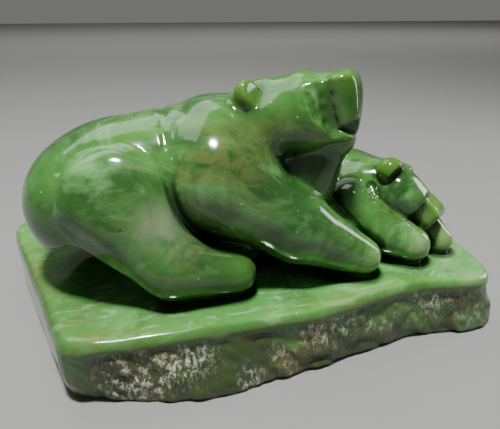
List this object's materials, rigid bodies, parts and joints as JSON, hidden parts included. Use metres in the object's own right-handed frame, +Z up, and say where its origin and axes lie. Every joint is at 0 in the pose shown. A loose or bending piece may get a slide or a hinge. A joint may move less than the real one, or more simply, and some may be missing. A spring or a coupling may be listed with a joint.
{
  "type": "jade bear carving",
  "caption": "Nephrite jade carving of a resting bear, head turned aside and raised, with her cub asleep against her chest, on an uneven flat-bottomed slab of the same stone.",
  "frame": {"origin": "middle of the bounding box on the flat underside", "axes": "+X the way the mother bear's body points, from her rump to the cub; +Y to her left, away from the slab's long rough edge; +Z up"},
  "size_m": [0.1832, 0.1078, 0.0901],
  "materials": {
    "jade": "polished"
  },
  "bodies": {
    "root": {"bear_and_cub_carving": "jade"}
  },
  "joints": []
}
